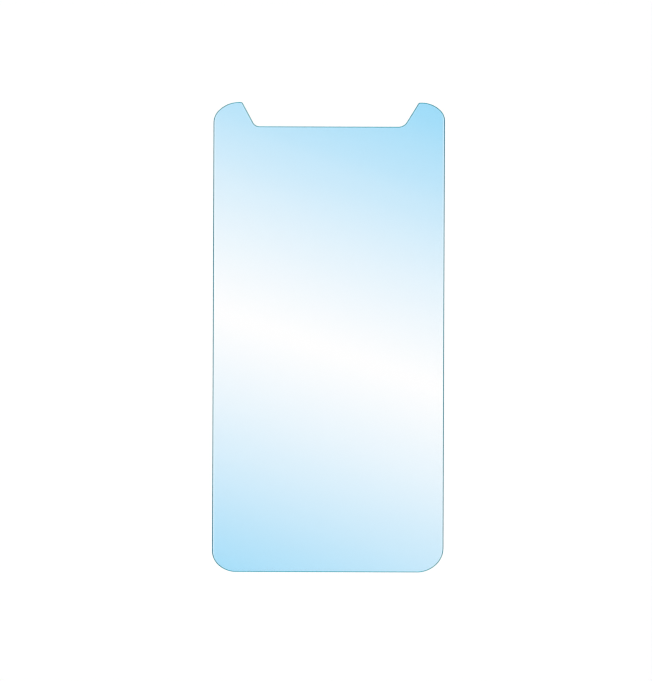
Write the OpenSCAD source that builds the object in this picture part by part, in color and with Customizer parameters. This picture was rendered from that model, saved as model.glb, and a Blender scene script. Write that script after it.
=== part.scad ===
/* [Sheet] */
// Width across the two long sides
glass_w = 68; // [64:0.1:90]
// Length from the lower edge to the top of the two tabs
glass_l = 138; // [110:0.1:180]
// Thickness of the glass
glass_t = 0.33; // [0.27:0.01:0.5]

/* [Corners] */
// Radius of the top left corner beside the long side, seen from the front
corner_tl_side_r = 5.1; // [3:0.1:7]
// Radius of the same corner beside the top of its tab
corner_tl_end_r = 8.5; // [3:0.1:10]
// Radius of the top right corner beside the long side
corner_tr_side_r = 4.3; // [3:0.1:7]
// Radius of the same corner beside the top of its tab
corner_tr_end_r = 7.8; // [3:0.1:10]
// Radius of the lower left corner beside the long side
corner_bl_side_r = 5.6; // [3:0.1:10]
// Radius of the same corner beside the lower edge
corner_bl_end_r = 7.5; // [3:0.1:10]
// Radius of the lower right corner beside the long side
corner_br_side_r = 6.7; // [3:0.1:10]
// Radius of the same corner beside the lower edge
corner_br_end_r = 8.3; // [3:0.1:10]

/* [Notch] */
// Depth of the notch between the two tabs
notch_depth = 7.1; // [5.5:0.1:12]
// Width of the left tab along its top, out to the line of its flank
tab_l_w = 8.45; // [7:0.05:14]
// Width of the right tab along its top, out to the line of its flank
tab_r_w = 7.7; // [7:0.05:14]
// Lean of the left flank away from the sheet's length
flank_l_deg = 28; // [12:0.1:40]
// Lean of the right flank away from the sheet's length
flank_r_deg = 31.4; // [12:0.1:40]
// Slight hollow of each flank, as the angle that it turns through
flank_bow_deg = 0.5; // [0.2:0.1:4]
// Radius where the left flank runs into the notch's floor
fillet_l_r = 2.2; // [1:0.1:3.5]
// Radius where the right flank runs into the notch's floor
fillet_r_r = 2.9; // [1:0.1:3.5]
// Radius of the tip of each tab
tip_r = 0.8; // [0.7:0.1:2]

/* [Ground rim] */
// How far the rounded front edge reaches in from the side
rim_reach = 0.5; // [0.4:0.01:0.6]
// How far the rounded front edge falls below the face
rim_drop = 0.2; // [0.12:0.01:0.22]
// Slope at which the rounding breaks away from the face
rim_break_deg = 3; // [2:0.5:6]
// Width of the small flat that breaks the back edge
arris = 0.05; // [0.02:0.01:0.08]

/* [Hidden] */
$fn = 96;

// The sides of the sheet, with the middle of its whole outline at zero
side_x = glass_w / 2;
end_y = glass_l / 2;

// Arc of the rim's section, which leaves the face at the break and ends on the side
rim_arc_r = (pow(rim_reach, 2) + pow(rim_drop, 2))
    / (2 * (rim_drop * cos(rim_break_deg) - rim_reach * sin(rim_break_deg)));
rim_arc_centre = [-rim_reach - rim_arc_r * sin(rim_break_deg), glass_t - rim_arc_r * cos(rim_break_deg)];

// How far the wheel stands out past the finished edge, and past the front and the back
wheel_out = 4.5;
wheel_over = 0.2;
// Glass that the cut blank leaves inside the notch for the wheel
stock = 0.6;
// Least straight length that stays between a top corner and the tip of its tab
tab_flat = 0.2;
// How far two passes along one straight edge lap over each other
lap = 1;
// Angle from the side at which the two radii of a corner meet
join_deg = 45;

// Length of straight edge that a radius takes up beside a flank of this lean
function takes_up(r, lean) = r * tan(45 - lean / 2);

// Distances that a corner of two radii takes up along the end and along the side
function corner_span(r) = [
    r[0] * (1 - cos(join_deg)) + r[1] * cos(join_deg),
    r[0] * sin(join_deg) + r[1] * (1 - sin(join_deg))
];

// Radius of a flank that meets both its tip and its fillet without a corner
function flank_radius(lean, fillet_r) = let (low = lean + flank_bow_deg)
    (notch_depth - tip_r * (1 - sin(lean)) - fillet_r * (1 - sin(low))) / (sin(low) - sin(lean));

// Point at a distance and an angle from another
function beside(point, distance, angle) = point + distance * [cos(angle), sin(angle)];

// Centres of the left tab's tip, of the hollow of its flank and of the fillet at its foot
function tip_centre(tab_w, lean) = [tab_w - takes_up(tip_r, lean) - side_x, end_y - tip_r];
function flank_centre(tab_w, lean, fillet_r) =
    beside(tip_centre(tab_w, lean), tip_r + flank_radius(lean, fillet_r), lean);
function fillet_centre(tab_w, lean, fillet_r) =
    beside(flank_centre(tab_w, lean, fillet_r), fillet_r - flank_radius(lean, fillet_r), lean + flank_bow_deg);

// Corner of the blank's cut at the foot of the left tab, held off the middle of the fillet by the stock
function cut_corner(tab_w, lean, fillet_r) =
    beside(fillet_centre(tab_w, lean, fillet_r), fillet_r - stock, 225 + (lean + flank_bow_deg) / 2);

// Places a piece in a coarse and a fine step, so that neighbours along the rim meet closely
module at(point) {
    coarse = [for (v = point) round(v * 100) / 100];
    translate(coarse)
        translate(point - coarse)
            children();
}

// What the wheel takes away, seen along the edge, with the glass's side at zero and outside to the right
module wheel_section(out) {
    difference() {
        translate([rim_arc_centre.x, -wheel_over])
            square([out - rim_arc_centre.x, glass_t + 2 * wheel_over]);
        intersection() {
            translate(rim_arc_centre)
                circle(rim_arc_r);
            translate([-2 * rim_arc_r, -2 * rim_arc_r])
                square([2 * rim_arc_r, 4 * rim_arc_r]);
        }
    }
    polygon([[0, arris], [-arris - wheel_over, -wheel_over], [out / 2, -wheel_over], [out / 2, arris]]);
}

// The wheel's path round an outward corner
module round_corner(centre, r, from, sweep)
    at(centre)
        rotate_extrude(start = from, angle = sweep)
            at([r, 0])
                wheel_section(wheel_out);

// The wheel's path round an inward curve, where the glass lies outside the arc
module round_hollow(centre, r, from, sweep)
    at(centre)
        rotate_extrude(start = from, angle = sweep)
            at([r, 0])
                mirror([1, 0])
                    wheel_section(min(wheel_out, 0.8 * r));

// The wheel's straight path, beside a curve's centre and with the outside on the left hand
module straight(centre, offset, heading, from, to)
    at(centre)
        rotate([90, 0, 90 + heading])
            translate([0, 0, from])
                linear_extrude(to - from)
                    at([offset, 0])
                        wheel_section(wheel_out);

// The ground edge of the left half, from the middle of the lower edge clockwise to the notch.
// Each corner has the radius beside the side first and the one beside the end second.
module ground_half(low_r, high_r, tab_w, lean, fillet_r) {
    low_side = [low_r[0] - side_x, corner_span(low_r).y - end_y];
    low_end = beside(low_side, low_r[1] - low_r[0], join_deg);
    // A top corner is never larger than its tab leaves room for
    room = tab_w - takes_up(tip_r, lean) - tab_flat;
    top_r = min(1, room / corner_span(high_r).x) * high_r;
    high_side = [top_r[0] - side_x, end_y - corner_span(top_r).y];
    high_end = beside(high_side, top_r[1] - top_r[0], -join_deg);
    tip = tip_centre(tab_w, lean);
    tab_run = 0.6 * (tip.x - high_end.x);
    flank_r = flank_radius(lean, fillet_r);
    flank = flank_centre(tab_w, lean, fillet_r);
    fillet = fillet_centre(tab_w, lean, fillet_r);

    straight(low_end, low_r[1], 180, low_end.x - lap, 0);
    round_corner(low_end, low_r[1], 180 + join_deg, 90 - join_deg);
    round_corner(low_side, low_r[0], 180, join_deg);
    straight(low_side, low_r[0], 90, 0, lap - low_side.y);
    straight(high_side, top_r[0], 90, -high_side.y - lap, 0);
    round_corner(high_side, top_r[0], 180 - join_deg, join_deg);
    round_corner(high_end, top_r[1], 90, 90 - join_deg);
    straight(high_end, top_r[1], 0, 0, tab_run);
    straight(tip, tip_r, 0, -tab_run, 0);
    round_corner(tip, tip_r, lean, 90 - lean);
    round_hollow(flank, flank_r, 180 + lean, flank_bow_deg);
    round_hollow(fillet, fillet_r, 180 + lean + flank_bow_deg, 90 - lean - flank_bow_deg);
    straight(fillet, -fillet_r, 0, 0, lap - fillet.x);
}

// The flat blank, cut square outside and short of the finished edge in the notch
module blank() {
    left = cut_corner(tab_l_w, flank_l_deg, fillet_l_r);
    right = cut_corner(tab_r_w, flank_r_deg, fillet_r_r);
    linear_extrude(glass_t)
        difference() {
            square([glass_w, glass_l], center = true);
            polygon([
                [tab_l_w - side_x + stock, end_y + stock],
                left,
                [-right.x, right.y],
                [side_x - tab_r_w - stock, end_y + stock]
            ]);
        }
}

// One sheet of toughened glass with its back face at zero, its front face up and the notch along +Y
module glass_sheet()
    color([0.68, 0.88, 0.97])
        difference() {
            blank();
            ground_half([corner_bl_side_r, corner_bl_end_r], [corner_tl_side_r, corner_tl_end_r],
                tab_l_w, flank_l_deg, fillet_l_r);
            mirror([1, 0, 0])
                ground_half([corner_br_side_r, corner_br_end_r], [corner_tr_side_r, corner_tr_end_r],
                    tab_r_w, flank_r_deg, fillet_r_r);
        }

glass_sheet();
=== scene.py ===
"""Looks of a glass screen protector: the ground sheet, its colour carrying a painted reflection and
a rim line of painted shade, on a pale studio floor.
"""

import logging
import math
from dataclasses import dataclass, field
from enum import Enum
from typing import Any, Mapping, Optional, Sequence, Union

import bpy
import numpy as np
from mathutils import Matrix, Vector


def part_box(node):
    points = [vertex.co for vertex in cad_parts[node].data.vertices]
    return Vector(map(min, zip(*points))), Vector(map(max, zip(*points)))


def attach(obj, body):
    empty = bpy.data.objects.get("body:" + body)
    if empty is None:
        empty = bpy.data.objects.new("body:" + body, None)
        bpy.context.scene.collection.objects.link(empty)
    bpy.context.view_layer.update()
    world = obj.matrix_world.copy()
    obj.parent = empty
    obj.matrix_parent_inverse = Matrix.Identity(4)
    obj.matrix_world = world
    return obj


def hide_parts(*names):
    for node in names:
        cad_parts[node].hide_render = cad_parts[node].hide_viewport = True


LOG = logging.getLogger("glass_sheet")
MM = 0.001
INWARD = "inward"
INSET = "inset"
TURN = "turn"
# A smooth maximum of two equal values lies its width divided by this above them.
SMOOTH_LIFT = 6
# Points of the rim's section on the flat back and front, beside those on its arc.
POINTS_BEFORE_ARC = 3
POINTS_AFTER_ARC = 1
HALF_STEP = 0.5

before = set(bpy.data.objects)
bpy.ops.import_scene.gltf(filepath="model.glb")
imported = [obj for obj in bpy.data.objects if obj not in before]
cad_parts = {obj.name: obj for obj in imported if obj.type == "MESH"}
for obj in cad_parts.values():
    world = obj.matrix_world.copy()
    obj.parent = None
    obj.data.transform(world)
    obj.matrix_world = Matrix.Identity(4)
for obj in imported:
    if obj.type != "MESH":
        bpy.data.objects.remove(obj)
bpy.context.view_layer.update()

Number = Union[float, int]


class Wire:
    """One output of a node, on which Python's own operators build Math nodes."""

    def __init__(self, tree: "Tree", socket: bpy.types.NodeSocket) -> None:
        """Keeps the tree and the socket."""
        self.tree = tree
        self.socket = socket

    def math(self, operation: str, *values: Union["Wire", Number]) -> "Wire":
        """Adds one Math node.

        Args:
            operation: Blender's name of the operation.
            values: The node's inputs in order.

        Returns:
            The node's result.
        """
        return self.tree.add("ShaderNodeMath", {"operation": operation}, dict(enumerate(values)))

    def other(self, name: str) -> "Wire":
        """Another output of the same node."""
        return Wire(self.tree, self.socket.node.outputs[name])

    def rises(self, low: float, high: float) -> "Wire":
        """A smooth step of this value.

        Args:
            low: Where the step leaves 0.
            high: Where it reaches 1.

        Returns:
            The step's height.
        """
        return self.tree.add(
            "ShaderNodeMapRange",
            {"interpolation_type": "SMOOTHSTEP"},
            {"Value": self, "From Min": low, "From Max": high},
        )

    def __add__(self, value: Union["Wire", Number]) -> "Wire":
        """Sum."""
        return self.math("ADD", self, value)

    __radd__ = __add__

    def __sub__(self, value: Union["Wire", Number]) -> "Wire":
        """Difference."""
        return self.math("SUBTRACT", self, value)

    def __rsub__(self, value: Number) -> "Wire":
        """Difference from a number."""
        return self.math("SUBTRACT", value, self)

    def __mul__(self, value: Union["Wire", Number]) -> "Wire":
        """Product."""
        return self.math("MULTIPLY", self, value)

    __rmul__ = __mul__

    def __truediv__(self, value: Union["Wire", Number]) -> "Wire":
        """Quotient."""
        return self.math("DIVIDE", self, value)

    def __mod__(self, value: Union["Wire", Number]) -> "Wire":
        """Remainder, never negative."""
        return self.math("FLOORED_MODULO", self, value)

    def __abs__(self) -> "Wire":
        """Size without its sign."""
        return self.math("ABSOLUTE", self)


Value = Union[Wire, Number, Sequence[float], str]


class MixSocket:
    """Places of a Mix node's sockets for colours."""

    FACTOR = 0
    FIRST = 6
    SECOND = 7
    RESULT = 2


@dataclass
class Tree:
    """A node tree while it is built."""

    inner: bpy.types.NodeTree

    @classmethod
    def emptied(cls, owner: Union[bpy.types.Material, bpy.types.World]) -> "Tree":
        """Empties the node tree of a material or a world.

        Args:
            owner: The material or world.

        Returns:
            Its tree, ready to be built.
        """
        owner.use_nodes = True
        owner.node_tree.nodes.clear()
        return cls(owner.node_tree)

    def add(
        self,
        kind: str,
        settings: Optional[Mapping[str, Any]] = None,
        inputs: Optional[Mapping[Union[str, int], Value]] = None,
        output: Union[str, int] = 0,
    ) -> Wire:
        """Adds a node, with its settings before its sockets.

        Args:
            kind: Blender's type of the node.
            settings: Properties of the node.
            inputs: Values or wires by the socket's name or place.
            output: The output to return.

        Returns:
            That output.
        """
        node = self.inner.nodes.new(kind)
        for name, value in (settings or {}).items():
            setattr(node, name, value)
        for key, value in (inputs or {}).items():
            if isinstance(value, Wire):
                self.inner.links.new(value.socket, node.inputs[key])
            else:
                node.inputs[key].default_value = value
        if not node.outputs:
            return Wire(self, node.inputs[0])
        return Wire(self, node.outputs[output])

    def mix(self, factor: Value, first: Value, second: Value, blend: str = "MIX") -> Wire:
        """Mixes two colours.

        Args:
            factor: Share of the second colour.
            first: Colour at 0.
            second: Colour at 1.
            blend: Blender's name of the way they mix.

        Returns:
            The mixed colour.
        """
        return self.add(
            "ShaderNodeMix",
            {"data_type": "RGBA", "blend_type": blend},
            {MixSocket.FACTOR: factor, MixSocket.FIRST: first, MixSocket.SECOND: second},
            output=MixSocket.RESULT,
        )


class Side(Enum):
    """The two long sides of the sheet, each with the sign of its X seen from the front."""

    LEFT = -1
    RIGHT = 1


class Lies(Enum):
    """On which side of an arc the glass lies."""

    INSIDE = 1
    OUTSIDE = -1


@dataclass(frozen=True)
class Arc:
    """One arc of the outline, in degrees and metres."""

    centre: Vector
    radius: float
    start: float
    sweep: float
    glass: Lies
    steps: int

    def points(self) -> list[tuple[Vector, Vector]]:
        """Points along the arc.

        Returns:
            Each point with the unit vector that leads from it into the glass.
        """
        made = []
        for step in range(self.steps + 1):
            angle = math.radians(self.start + self.sweep * step / self.steps)
            out = Vector((math.cos(angle), math.sin(angle), 0))
            made.append((self.centre + self.radius * out, -self.glass.value * out))
        return made


@dataclass(frozen=True)
class Corner:
    """A corner of two radii, which meet at an angle from the side."""

    beside_side: float
    beside_end: float
    join: float = 45.0

    def along_side(self) -> float:
        """Length of the side that the corner takes up."""
        sine = math.sin(math.radians(self.join))
        return self.beside_side * sine + self.beside_end * (1 - sine)


@dataclass(frozen=True)
class HalfSizes:
    """Sizes that differ between the left and the right half, in metres and degrees.

    Attributes:
        low_corner: The corner at the lower edge.
        top_corner: The corner at the top of the tab.
        tab_width: From the side along the tab's top, out to the line of its flank.
        flank_lean: Lean of the flank away from the sheet's length.
        fillet: Radius where the flank runs into the notch's floor.
    """

    low_corner: Corner
    top_corner: Corner
    tab_width: float
    flank_lean: float
    fillet: float


@dataclass
class Outline:
    """The sheet's outline: a rectangle with four round corners and a notch between two tabs.

    Attributes:
        width: Across the two sides, in metres, as are all lengths here.
        length: From the lower edge to the tops of the tabs.
        notch_depth: From the tops of the tabs to the notch's floor.
        tip: Radius of each tab's tip.
        flank_bow: Degrees that each slightly hollow flank turns through.
        halves: What differs from left to right.
        corner_steps: Steps along each arc of a corner.
        tip_steps: Steps along a tip and along a fillet.
        flank_steps: Steps along a flank.
        same_point: Closer than this, two points are taken for one.
    """

    width: float
    length: float
    notch_depth: float = 7.1 * MM
    tip: float = 0.8 * MM
    flank_bow: float = 0.5
    halves: Mapping[Side, HalfSizes] = field(
        default_factory=lambda: {
            Side.LEFT: HalfSizes(
                low_corner=Corner(5.6 * MM, 7.5 * MM),
                top_corner=Corner(5.1 * MM, 8.5 * MM),
                tab_width=8.45 * MM,
                flank_lean=28.0,
                fillet=2.2 * MM,
            ),
            Side.RIGHT: HalfSizes(
                low_corner=Corner(6.7 * MM, 8.3 * MM),
                top_corner=Corner(4.3 * MM, 7.8 * MM),
                tab_width=7.7 * MM,
                flank_lean=31.4,
                fillet=2.9 * MM,
            ),
        }
    )
    corner_steps: int = 20
    tip_steps: int = 12
    flank_steps: int = 8
    same_point: float = 0.001 * MM

    def half(self, side: Side) -> list[tuple[Vector, Vector]]:
        """One half of the outline, worked out on the left and laid on its own side.

        Args:
            side: The half.

        Returns:
            Its points from the lower edge up and along the notch, each with its way into the glass.
        """
        made: list[tuple[Vector, Vector]] = []
        for arc in self.arcs(self.halves[side]):
            for point, inward in arc.points():
                if not made or (point - made[-1][0]).length > self.same_point:
                    made.append((point, inward))
        lay = Matrix.Diagonal((-side.value, 1, 1))
        return [(lay @ point, lay @ inward) for point, inward in made]

    def arcs(self, size: HalfSizes) -> tuple[Arc, ...]:
        """The arcs of a left half, which straight edges join.

        Args:
            size: The half's sizes.

        Returns:
            The arcs from the lower edge up and along the notch.
        """
        side_x, end_y = self.width / 2, self.length / 2
        lean, low_lean = size.flank_lean, size.flank_lean + self.flank_bow
        taken = self.tip * math.tan(math.radians(45 - lean / 2))
        sine, low_sine = math.sin(math.radians(lean)), math.sin(math.radians(low_lean))
        rise = self.notch_depth - self.tip * (1 - sine) - size.fillet * (1 - low_sine)
        flank_radius = rise / (low_sine - sine)

        low, high = size.low_corner, size.top_corner
        low_side = Vector((low.beside_side - side_x, low.along_side() - end_y, 0))
        low_end = low_side + (low.beside_end - low.beside_side) * towards(low.join)
        high_side = Vector((high.beside_side - side_x, end_y - high.along_side(), 0))
        high_end = high_side + (high.beside_end - high.beside_side) * towards(-high.join)
        tip = Vector((size.tab_width - taken - side_x, end_y - self.tip, 0))
        flank = tip + (self.tip + flank_radius) * towards(lean)
        fillet = flank + (size.fillet - flank_radius) * towards(low_lean)

        steps = self.corner_steps
        return (
            Arc(low_end, low.beside_end, 270, low.join - 90, Lies.INSIDE, steps),
            Arc(low_side, low.beside_side, 180 + low.join, -low.join, Lies.INSIDE, steps),
            Arc(high_side, high.beside_side, 180, -high.join, Lies.INSIDE, steps),
            Arc(high_end, high.beside_end, 180 - high.join, high.join - 90, Lies.INSIDE, steps),
            Arc(tip, self.tip, 90, lean - 90, Lies.INSIDE, self.tip_steps),
            Arc(flank, flank_radius, 180 + lean, self.flank_bow, Lies.OUTSIDE, self.flank_steps),
            Arc(fillet, size.fillet, 180 + low_lean, 90 - low_lean, Lies.OUTSIDE, self.tip_steps),
        )

    def loop(self) -> list[tuple[Vector, Vector]]:
        """The whole outline, anticlockwise from the middle of the notch's floor.

        Returns:
            Its points, each with its way into the glass.
        """
        return self.half(Side.LEFT)[::-1] + self.half(Side.RIGHT)


def towards(degrees: float) -> Vector:
    """Unit vector at an angle from +X."""
    return Vector((math.cos(math.radians(degrees)), math.sin(math.radians(degrees)), 0))


@dataclass
class GroundEdge:
    """Section of the sheet's ground edge, and the tree that carries it round the outline.

    Attributes:
        thickness: Of the glass, in metres, as are all lengths here.
        reach: How far the rounding reaches in from the side.
        drop: How far it falls below the front face.
        break_angle: Degrees at which it leaves the front face.
        arris: Width of the small flat that breaks the back edge.
        margin: Where the swept edge ends and the flat faces begin.
        arc_steps: Steps along the rounding.
        weld: Closer than this, points are joined.
    """

    thickness: float
    reach: float = 0.5 * MM
    drop: float = 0.2 * MM
    break_angle: float = 3.0
    arris: float = 0.05 * MM
    margin: float = 0.72 * MM
    arc_steps: int = 10
    weld: float = 0.0005 * MM

    def inputs(self) -> dict[str, tuple[str, Any]]:
        """The tree's named inputs.

        Returns:
            The socket's type and value by its name.
        """
        return {
            "Thickness": ("NodeSocketFloat", self.thickness),
            "Rim reach": ("NodeSocketFloat", self.reach),
            "Rim drop": ("NodeSocketFloat", self.drop),
            "Break angle": ("NodeSocketFloat", math.radians(self.break_angle)),
            "Arris": ("NodeSocketFloat", self.arris),
            "Face margin": ("NodeSocketFloat", self.margin),
            "Arc steps": ("NodeSocketInt", self.arc_steps),
        }

    def tree(self) -> bpy.types.NodeTree:
        """Builds the tree that turns a closed outline into a ground sheet.

        Returns:
            The node group, with the outline as its first input and the finish as its last.
        """
        group = bpy.data.node_groups.new("ground_sheet", "GeometryNodeTree")
        group.interface.new_socket("Outline", in_out="INPUT", socket_type="NodeSocketGeometry")
        for name, (kind, _) in self.inputs().items():
            group.interface.new_socket(name, in_out="INPUT", socket_type=kind)
        group.interface.new_socket("Finish", in_out="INPUT", socket_type="NodeSocketMaterial")
        group.interface.new_socket("Sheet", in_out="OUTPUT", socket_type="NodeSocketGeometry")
        tree = Tree(group)
        given = tree.add("NodeGroupInput", output="Outline")
        edge = self.swept_edge(tree, given)
        faces = [self.face(tree, given, front) for front in (True, False)]
        joined = tree.add("GeometryNodeJoinGeometry", inputs={0: edge})
        for face in faces:
            group.links.new(face.socket, joined.socket.node.inputs[0])
        welded = tree.add(
            "GeometryNodeMergeByDistance", inputs={"Geometry": joined, "Distance": self.weld}
        )
        smooth = tree.add(
            "GeometryNodeSetShadeSmooth", inputs={"Geometry": welded, "Shade Smooth": True}
        )
        real = tree.add("GeometryNodeRealizeInstances", inputs={"Geometry": smooth})
        done = tree.add(
            "GeometryNodeSetMaterial", inputs={"Geometry": real, "Material": given.other("Finish")}
        )
        tree.add("NodeGroupOutput", inputs={"Sheet": done})
        return group

    def section(self, tree: Tree, given: Wire, step: Wire) -> tuple[Wire, Wire]:
        """The section, from the back face round the edge to the front face.

        Args:
            tree: The tree that is built.
            given: Any output of the tree's input node.
            step: Number of the point along the section.

        Returns:
            The point's distance in from the side and its height.
        """
        thickness, reach, drop = (given.other(n) for n in ("Thickness", "Rim reach", "Rim drop"))
        lean, arris, margin = (given.other(n) for n in ("Break angle", "Arris", "Face margin"))
        steps = given.other("Arc steps")
        sine, cosine = lean.math("SINE", lean), lean.math("COSINE", lean)
        radius = (reach * reach + drop * drop) / (2 * (drop * cosine - reach * sine))
        centre_in, centre_up = reach + radius * sine, thickness - radius * cosine
        steepest = lean.math("ARCSINE", centre_in / radius)
        along = step.math("MAXIMUM", step - POINTS_BEFORE_ARC, 0)
        along = step.math("MINIMUM", along, steps) / steps
        angle = steepest + (lean - steepest) * along
        on_arc = (
            centre_in - radius * angle.math("SINE", angle),
            centre_up + radius * angle.math("COSINE", angle),
        )
        zero = arris * 0
        before = ((margin, zero), (arris, zero), (zero, arris))
        after = (margin, thickness)
        found = []
        for axis in range(2):
            value = on_arc[axis]
            past = step.math("GREATER_THAN", step, steps + POINTS_BEFORE_ARC + HALF_STEP)
            value = value + past * (after[axis] - value)
            for place, corner in enumerate(before):
                here = step.math("COMPARE", step, place, HALF_STEP)
                value = value + here * (corner[axis] - value)
            found.append(value)
        return found[0], found[1]

    def swept_edge(self, tree: Tree, given: Wire) -> Wire:
        """Carries the section round the outline as one closed band.

        Args:
            tree: The tree that is built.
            given: The outline, an output of the tree's input node.

        Returns:
            The band. Each point carries its distance in from the side, and how far the edge
            turns from the side's way to the end's.
        """
        count = tree.add("GeometryNodeAttributeDomainSize", {"component": "MESH"}, {0: given})
        across = given.other("Arc steps") + 1 + POINTS_BEFORE_ARC + POINTS_AFTER_ARC
        grid = tree.add(
            "GeometryNodeMeshGrid",
            inputs={
                "Size X": across - 1,
                "Size Y": count,
                "Vertices X": across,
                "Vertices Y": count + 1,
            },
        )
        place = tree.add("ShaderNodeSeparateXYZ", inputs={0: tree.add("GeometryNodeInputPosition")})
        step = place.math("ROUND", place + (across - 1) / 2)
        row = place.other("Y")
        row = row.math("ROUND", row + count / 2) % count
        inset, height = self.section(tree, given, step)
        point = self.sampled(tree, given, row, tree.add("GeometryNodeInputPosition"))
        inward = self.sampled(tree, given, row, self.inward(tree))
        spot = self.moved(tree, point, inward, inset, height)
        across_edge = tree.add("ShaderNodeSeparateXYZ", inputs={0: inward}, output="Y")
        stored = self.stored(tree, self.stored(tree, grid, INSET, inset), TURN, abs(across_edge))
        placed = tree.add("GeometryNodeSetPosition", inputs={"Geometry": stored, "Position": spot})
        return tree.add("GeometryNodeFlipFaces", inputs={0: placed})

    def face(self, tree: Tree, given: Wire, front: bool) -> Wire:
        """One flat face inside the ground edge.

        Args:
            tree: The tree that is built.
            given: The outline, an output of the tree's input node.
            front: Whether it is the front face.

        Returns:
            The face, which looks outwards.
        """
        margin, thickness = given.other("Face margin"), given.other("Thickness")
        here = tree.add("GeometryNodeInputPosition")
        spot = self.moved(tree, here, self.inward(tree), margin, margin * 0)
        ring = tree.add("GeometryNodeSetPosition", inputs={"Geometry": given, "Position": spot})
        curve = tree.add("GeometryNodeMeshToCurve", inputs={0: ring})
        filled = tree.add("GeometryNodeFillCurve", {"mode": "NGONS"}, {0: curve})
        filled = self.stored(tree, filled, INSET, margin)
        if not front:
            return tree.add("GeometryNodeFlipFaces", inputs={0: filled})
        lift = tree.add("ShaderNodeCombineXYZ", inputs={"Z": thickness})
        return tree.add("GeometryNodeTransform", inputs={"Geometry": filled, "Translation": lift})

    @staticmethod
    def inward(tree: Tree) -> Wire:
        """The outline's way into the glass."""
        kind = {"data_type": "FLOAT_VECTOR"}
        return tree.add("GeometryNodeInputNamedAttribute", kind, {"Name": INWARD})

    @staticmethod
    def stored(tree: Tree, geometry: Wire, name: str, value: Wire) -> Wire:
        """Stores a number on each point."""
        return tree.add(
            "GeometryNodeStoreNamedAttribute",
            {"data_type": "FLOAT", "domain": "POINT"},
            {"Geometry": geometry, "Name": name, "Value": value},
        )

    @staticmethod
    def sampled(tree: Tree, outline: Wire, row: Wire, value: Wire) -> Wire:
        """A vector of one point of the outline."""
        return tree.add(
            "GeometryNodeSampleIndex",
            {"data_type": "FLOAT_VECTOR", "domain": "POINT"},
            {"Geometry": outline, "Value": value, "Index": row},
        )

    @staticmethod
    def moved(tree: Tree, point: Wire, inward: Wire, inset: Wire, height: Wire) -> Wire:
        """A point moved into the glass and up.

        Args:
            tree: The tree that is built.
            point: The point.
            inward: The way into the glass.
            inset: How far it moves that way.
            height: How far it moves up.

        Returns:
            The moved point.
        """
        scale, total = {"operation": "SCALE"}, {"operation": "ADD"}
        inside = tree.add("ShaderNodeVectorMath", scale, {0: inward, "Scale": inset})
        lift = tree.add("ShaderNodeCombineXYZ", inputs={"Z": height})
        flat = tree.add("ShaderNodeVectorMath", total, {0: point, 1: inside})
        return tree.add("ShaderNodeVectorMath", total, {0: flat, 1: lift})


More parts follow.
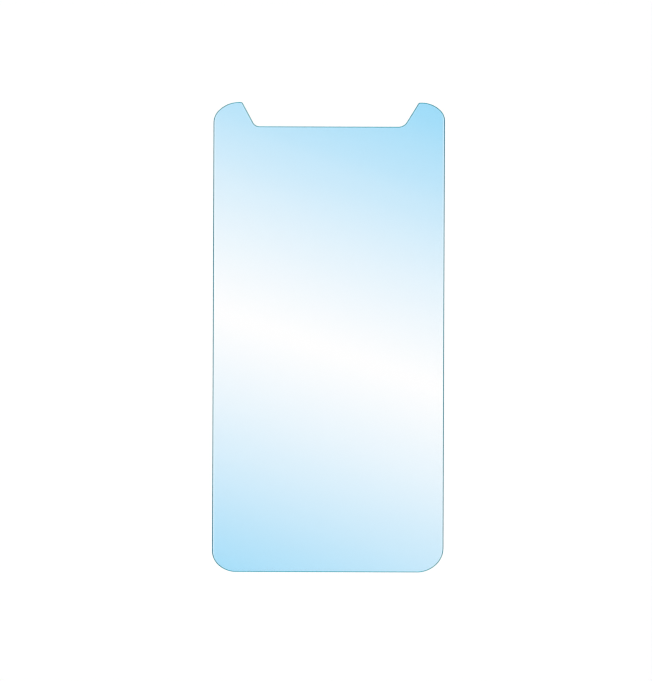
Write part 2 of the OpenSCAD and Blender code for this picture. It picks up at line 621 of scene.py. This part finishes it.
@dataclass(frozen=True)
class SheenPaintedGlass:
    """Clear glass whose colour carries a painted reflection: a pale blue sheen that fades to
    nothing along one slanting band of painted highlight.

    Lengths are in metres, and each pair is where a smooth step starts and ends.

    Attributes:
        name: The material's name.
        band_lean: Degrees by which the clear band falls to the right.
        band_offset: How far the band lies past the sheet's middle, towards the notch.
        band_rounding: Width over which the sheen turns round at the band's middle.
        fade: How much of the sheen comes with each metre away from the band.
        fade_growth: How much more comes with the square of that distance.
        sheen_takes: Share of red, green and blue that the full painted sheen takes away from the
            colour.
        clear: Colour along the clear band, which is a painted highlight.
        deepest: Depth at which the sheen stops growing.
        levels_off: How softly it comes to that depth.
        through: Share of the light that the two surfaces let through.
        streak_share: Strength of the streaks along the band.
        streak_scale: Fineness of the streaks.
        streak_stretch: Their fineness along the band against that across it.
        line_starts: Outer edge of the dark line, as a distance in from the side.
        line_ends: Its inner edge.
        wall: Up to here the sheet's side carries the painted shade as well.
        side_line: The line's colour along the sides.
        corner_line: Its colour round the corners and along the flanks.
        end_line: Its colour along the lower edge and the notch's floor.
        leaves_side: Turn of the edge over which the side's colour goes.
        nears_end: Turn over which the end's colour comes.
        ground_ends: Where the matt of the ground rim ends.
        glow_ends: Where the pale glow inside the line, a painted highlight, ends.
        glow_colour: The painted highlight's colour.
        glow_share: The painted highlight's strength.
        face_roughness: Least roughness of the polished faces.
        haze: How much the haze adds to it at most.
        haze_scale: Fineness of the haze.
        rim_roughness: Roughness of the ground rim.
        wave_scale: Fineness of the toughening waves.
        wave_height: Their height.
        ior: Refractive index.
    """

    name: str = "painted_sheen_glass"
    band_lean: float = 18.4
    band_offset: float = -3.75 * MM
    band_rounding: float = 7.65 * MM
    fade: float = 7.36
    fade_growth: float = 28.4
    sheen_takes: tuple[float, float, float] = (1.0, 0.43, 0.08)
    clear: tuple[float, float, float] = (0.961, 0.9585, 0.9645)
    deepest: float = 0.76
    levels_off: float = 0.6
    through: float = 0.96
    streak_share: float = 0.05
    streak_scale: float = 90.0
    streak_stretch: float = 0.08
    line_starts: tuple[float, float] = (0.04 * MM, 0.1 * MM)
    line_ends: tuple[float, float] = (0.26 * MM, 0.34 * MM)
    wall: float = 0.02 * MM
    side_line: tuple[float, float, float] = (0.03, 0.21, 0.27)
    corner_line: tuple[float, float, float] = (0.26, 0.45, 0.38)
    end_line: tuple[float, float, float] = (0.19, 0.67, 0.68)
    leaves_side: tuple[float, float] = (0.0, 0.5)
    nears_end: tuple[float, float] = (0.85, 1.0)
    ground_ends: tuple[float, float] = (0.3 * MM, 0.5 * MM)
    glow_ends: tuple[float, float] = (0.5 * MM, 0.7 * MM)
    glow_colour: tuple[float, float, float] = (0.85, 0.99, 1.0)
    glow_share: float = 0.35
    face_roughness: float = 0.02
    haze: float = 0.03
    haze_scale: float = 35.0
    rim_roughness: float = 0.14
    wave_scale: float = 45.0
    wave_height: float = 0.012 * MM
    ior: float = 1.5

    def material(self) -> bpy.types.Material:
        """Builds the material.

        Returns:
            The material.
        """
        made = bpy.data.materials.new(self.name)
        tree = Tree.emptied(made)
        place = tree.add("ShaderNodeTexCoord", output="Object")
        inset = tree.add("ShaderNodeAttribute", {"attribute_name": INSET}, output="Fac")
        # The base colour carries painted light: the painted reflection of the sheen, and the rim's
        # painted shade and highlight.
        shader = tree.add(
            "ShaderNodeBsdfPrincipled",
            inputs={
                "Base Color": self.rim_shade_line(tree, inset, self.sheen(tree, place)),
                "Roughness": self.roughness(tree, place, inset),
                "IOR": self.ior,
                "Transmission Weight": 1.0,
                "Normal": self.waves(tree, place),
            },
        )
        tree.add("ShaderNodeOutputMaterial", inputs={"Surface": shader})
        return made

    def sheen(self, tree: Tree, place: Wire) -> Wire:
        """The painted reflection over the face: a blue sheen, with faint streaks along its clear
        band of painted highlight.

        Args:
            tree: The material's tree.
            place: The point on the sheet.

        Returns:
            The colour that the glass lets through, which carries the painted reflection.
        """
        lean = math.radians(self.band_lean)
        across = self.measured(tree, place, (math.sin(lean), math.cos(lean), 0))
        along = self.measured(tree, place, (math.cos(lean), -math.sin(lean), 0))
        spot = tree.add(
            "ShaderNodeCombineXYZ", inputs={"X": along * self.streak_stretch, "Y": across}
        )
        streaks = tree.add(
            "ShaderNodeTexNoise", inputs={"Vector": spot, "Scale": self.streak_scale}
        )
        # Painted reflection: the blue sheen deepens with distance from the band of painted
        # highlight.
        away = across - self.band_offset
        away = away.math("SMOOTH_MAX", away, 0 - away, self.band_rounding)
        away = away - self.band_rounding / SMOOTH_LIFT
        depth = (away * self.fade + away * away * self.fade_growth) / self.through
        depth = depth * (1 + self.streak_share * (2 * streaks - 1))
        share = depth.math("SMOOTH_MIN", depth / self.deepest, 1, self.levels_off)
        deep = [own * (1 - self.deepest * part) for own, part in zip(self.clear, self.sheen_takes)]
        return tree.mix(share, opaque(self.clear), opaque(deep))

    def rim_shade_line(self, tree: Tree, inset: Wire, face: Wire) -> Wire:
        """Adds a dark line of painted shade along the ground rim, partly the edge's own green, and
        along the sides a paler glow of painted highlight inside it.

        The line's painted shade is darkest along the sides, greyer round the corners and bluer
        along the ends.

        Args:
            tree: The material's tree.
            inset: The point's distance in from the side.
            face: The colour of the face.

        Returns:
            The colour of the whole sheet.
        """
        turn = tree.add("ShaderNodeAttribute", {"attribute_name": TURN}, output="Fac")
        off_side = turn.rises(*self.leaves_side)
        # Painted highlight: a pale glow just inside the line, along the sides only.
        glow = (1 - inset.rises(*self.glow_ends)) * (1 - off_side) * self.glow_share
        # Painted shade, partly the edge's own green: a dark line along the rim, and the sheet's
        # side itself.
        line = inset.rises(*self.line_starts) * (1 - inset.rises(*self.line_ends))
        line = line.math("MAXIMUM", line, inset.math("LESS_THAN", inset, self.wall))
        # The painted shade's colour changes round the outline with the edge's turn.
        shade = tree.mix(off_side, opaque(self.side_line), opaque(self.corner_line))
        shade = tree.mix(turn.rises(*self.nears_end), shade, opaque(self.end_line))
        colour = tree.mix(glow, face, opaque(self.glow_colour))
        return tree.mix(line, colour, shade, "MULTIPLY")

    def roughness(self, tree: Tree, place: Wire, inset: Wire) -> Wire:
        """Polished faces with a trace of haze, and a rim that stays a little matt from grinding.

        Args:
            tree: The material's tree.
            place: The point on the sheet.
            inset: The point's distance in from the side.

        Returns:
            The roughness.
        """
        cloud = tree.add("ShaderNodeTexNoise", inputs={"Vector": place, "Scale": self.haze_scale})
        polished = self.face_roughness + self.haze * cloud
        ground = 1 - inset.rises(*self.ground_ends)
        return polished + ground * (self.rim_roughness - polished)

    def waves(self, tree: Tree, place: Wire) -> Wire:
        """The slight unevenness that toughening leaves in the faces.

        Args:
            tree: The material's tree.
            place: The point on the sheet.

        Returns:
            The bent normal.
        """
        height = tree.add("ShaderNodeTexNoise", inputs={"Vector": place, "Scale": self.wave_scale})
        return tree.add("ShaderNodeBump", inputs={"Height": height, "Distance": self.wave_height})

    @staticmethod
    def measured(tree: Tree, place: Wire, way: tuple[float, float, float]) -> Wire:
        """Distance along a direction."""
        return tree.add(
            "ShaderNodeVectorMath", {"operation": "DOT_PRODUCT"}, {0: place, 1: way}, output="Value"
        )


def opaque(colour: Sequence[float]) -> tuple[float, float, float, float]:
    """A colour with full alpha."""
    return (colour[0], colour[1], colour[2], 1.0)


@dataclass
class GlassSheet:
    """The one piece: the sheet of toughened glass, ground round its whole outline.

    Attributes:
        low: Low corner of the box of its CAD node, in metres.
        high: High corner of that box.
        finish: The glass.
        sharp_angle: Degrees above which an edge of the mesh stays sharp.
    """

    low: Vector
    high: Vector
    finish: SheenPaintedGlass = SheenPaintedGlass()
    sharp_angle: float = 25.0

    def build(self) -> bpy.types.Object:
        """Builds the sheet in the place of its CAD node.

        Returns:
            The dressed piece.
        """
        size = self.high - self.low
        edge = GroundEdge(thickness=size.z)
        outline = self.outline_object(Outline(width=size.x, length=size.y))
        modifier = outline.modifiers.new("ground_sheet", "NODES")
        modifier.node_group = edge.tree()
        material = self.finish.material()
        values = {name: value for name, (_, value) in edge.inputs().items()}
        values["Finish"] = material
        for item in modifier.node_group.interface.items_tree:
            if item.name in values:
                modifier[item.identifier] = values[item.name]
        graph = bpy.context.evaluated_depsgraph_get()
        mesh = bpy.data.meshes.new_from_object(
            outline.evaluated_get(graph), preserve_all_data_layers=True, depsgraph=graph
        )
        bpy.data.objects.remove(outline)
        mesh.name = "ground_glass"
        mesh.materials.clear()
        mesh.materials.append(material)
        mesh.set_sharp_from_angle(angle=math.radians(self.sharp_angle))
        sheet = bpy.data.objects.new("ground_glass", mesh)
        bpy.context.scene.collection.objects.link(sheet)
        self.dress(sheet)
        return sheet

    @staticmethod
    def outline_object(outline: Outline) -> bpy.types.Object:
        """Makes the outline a closed line of edges.

        Args:
            outline: The outline.

        Returns:
            The object, whose points carry their way into the glass.
        """
        loop = outline.loop()
        count = len(loop)
        mesh = bpy.data.meshes.new("outline")
        edges = [(i, (i + 1) % count) for i in range(count)]
        mesh.from_pydata([point for point, _ in loop], edges, [])
        inward = mesh.attributes.new(INWARD, "FLOAT_VECTOR", "POINT")
        inward.data.foreach_set("vector", np.array([way for _, way in loop], float).ravel())
        made = bpy.data.objects.new("outline", mesh)
        bpy.context.scene.collection.objects.link(made)
        return made

    @staticmethod
    def dress(sheet: bpy.types.Object) -> None:
        """Places the sheet on its body. It casts no shadow, as thin clear glass hardly does.

        Args:
            sheet: The finished piece.
        """
        sheet.visible_shadow = False
        sheet.visible_diffuse = False
        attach(sheet, "root")
        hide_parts("glass_sheet")


@dataclass(frozen=True)
class Softbox:
    """A lamp with a wide soft front, which looks at the sheet.

    Attributes:
        place: Where it hangs, in metres.
        width: Width of its front.
        height: Height of its front.
        radiance: How bright its front is.
    """

    place: tuple[float, float, float]
    width: float = 0.9
    height: float = 0.45
    radiance: float = 0.38

    def hang(self) -> None:
        """Hangs the lamp in its place, where the camera doesn't see it."""
        light = bpy.data.lights.new("softbox", "AREA")
        light.shape = "RECTANGLE"
        light.size, light.size_y = self.width, self.height
        light.energy = self.radiance * math.pi * self.width * self.height
        lamp = bpy.data.objects.new("softbox", light)
        lamp.location = self.place
        lamp.rotation_euler = Vector(self.place).to_track_quat("Z", "Y").to_euler()
        lamp.visible_camera = False
        bpy.context.scene.collection.objects.link(lamp)


@dataclass
class Studio:
    """Pale floor, soft light and the camera.

    Attributes:
        frame_px: Width and height of the picture, in pixels.
        px: Size of a pixel on the sheet, in metres, as are all lengths here.
        aim: Point on the floor in the middle of the picture.
        roll: Degrees that the camera is turned about its own axis.
        lens: Focal length, in millimetres.
        sensor: Width of the sensor, in millimetres.
        clip: Nearest and farthest seen distance, as shares of the camera's height.
        floor_size: Length of the floor's sides.
        floor_gap: Gap between the floor and the sheet's back face.
        floor_colour: The floor's colour.
        zenith: How bright the surroundings are overhead.
        horizon: Their colour at the horizon, as a share of that overhead.
        rise: Heights between which they change, from 0 at the horizon to 1 overhead.
        pixel_filter: Width over which a pixel gathers light, in pixels.
        softboxes: The lamps.
    """

    frame_px: tuple[int, int] = (652, 681)
    px: float = 0.2938 * MM
    aim: tuple[float, float] = (-0.725 * MM, -0.955 * MM)
    roll: float = 0.2
    lens: float = 100.0
    sensor: float = 36.0
    clip: tuple[float, float] = (0.01, 100.0)
    floor_size: float = 6.0
    floor_gap: float = 0.05 * MM
    floor_colour: tuple[float, float, float] = (0.904, 0.89, 0.87)
    zenith: float = 1.352
    horizon: tuple[float, float, float] = (0.524, 0.561, 0.598)
    rise: tuple[float, float] = (0.3, 0.95)
    pixel_filter: float = 1.1
    softboxes: tuple[Softbox, ...] = (Softbox((-0.8, 0.8, 0.75)), Softbox((0.8, -0.8, 0.75)))

    def build(self) -> None:
        """Sets up the whole studio."""
        self.floor()
        self.world()
        for softbox in self.softboxes:
            softbox.hang()
        self.camera()
        bpy.context.scene.view_settings.view_transform = "Standard"
        bpy.context.scene.cycles.filter_width = self.pixel_filter
        bpy.context.scene.cycles.caustics_refractive = False
        bpy.context.scene.cycles.caustics_reflective = False

    def floor(self) -> None:
        """Lays the floor just under the sheet."""
        half = self.floor_size / 2
        signs = ((-1, -1), (1, -1), (1, 1), (-1, 1))
        corners = [(x * half, y * half, -self.floor_gap) for x, y in signs]
        mesh = bpy.data.meshes.new("studio_floor")
        mesh.from_pydata(corners, [], [(0, 1, 2, 3)])
        made = bpy.data.materials.new("studio_floor")
        tree = Tree.emptied(made)
        shader = tree.add("ShaderNodeBsdfDiffuse", inputs={"Color": opaque(self.floor_colour)})
        tree.add("ShaderNodeOutputMaterial", inputs={"Surface": shader})
        mesh.materials.append(made)
        floor = bpy.data.objects.new("studio_floor", mesh)
        bpy.context.scene.collection.objects.link(floor)

    def world(self) -> None:
        """Gives the surroundings, which are a little darker and cooler towards the horizon."""
        world = bpy.data.worlds.new("studio")
        bpy.context.scene.world = world
        tree = Tree.emptied(world)
        way = tree.add("ShaderNodeTexCoord", output="Generated")
        up = tree.add("ShaderNodeSeparateXYZ", inputs={0: way}, output="Z")
        colour = tree.mix(up.rises(*self.rise), opaque(self.horizon), opaque((1, 1, 1)))
        shader = tree.add(
            "ShaderNodeBackground", inputs={"Color": colour, "Strength": self.zenith}
        )
        tree.add("ShaderNodeOutputWorld", inputs={"Surface": shader})

    def camera(self) -> None:
        """Hangs the camera straight above the sheet, as far off as in the photograph."""
        data = bpy.data.cameras.new("camera")
        data.lens, data.sensor_width = self.lens, self.sensor
        long_side = max(self.frame_px) * self.px
        height = long_side * self.lens / self.sensor
        data.clip_start, data.clip_end = (height * share for share in self.clip)
        camera = bpy.data.objects.new("camera", data)
        camera.location = (self.aim[0], self.aim[1], height)
        camera.rotation_euler = (0, 0, math.radians(self.roll))
        bpy.context.scene.collection.objects.link(camera)
        bpy.context.scene.camera = camera


def main() -> None:
    """Builds the sheet and its studio."""
    logging.basicConfig(level=logging.INFO, format="%(name)s: %(message)s")
    sheet = GlassSheet(*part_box("glass_sheet")).build()
    mesh = sheet.data
    LOG.info("%s: %d points, %d faces", sheet.name, len(mesh.vertices), len(mesh.polygons))
    Studio().build()
    LOG.info("studio built")


if __name__ == "__main__":
    main()
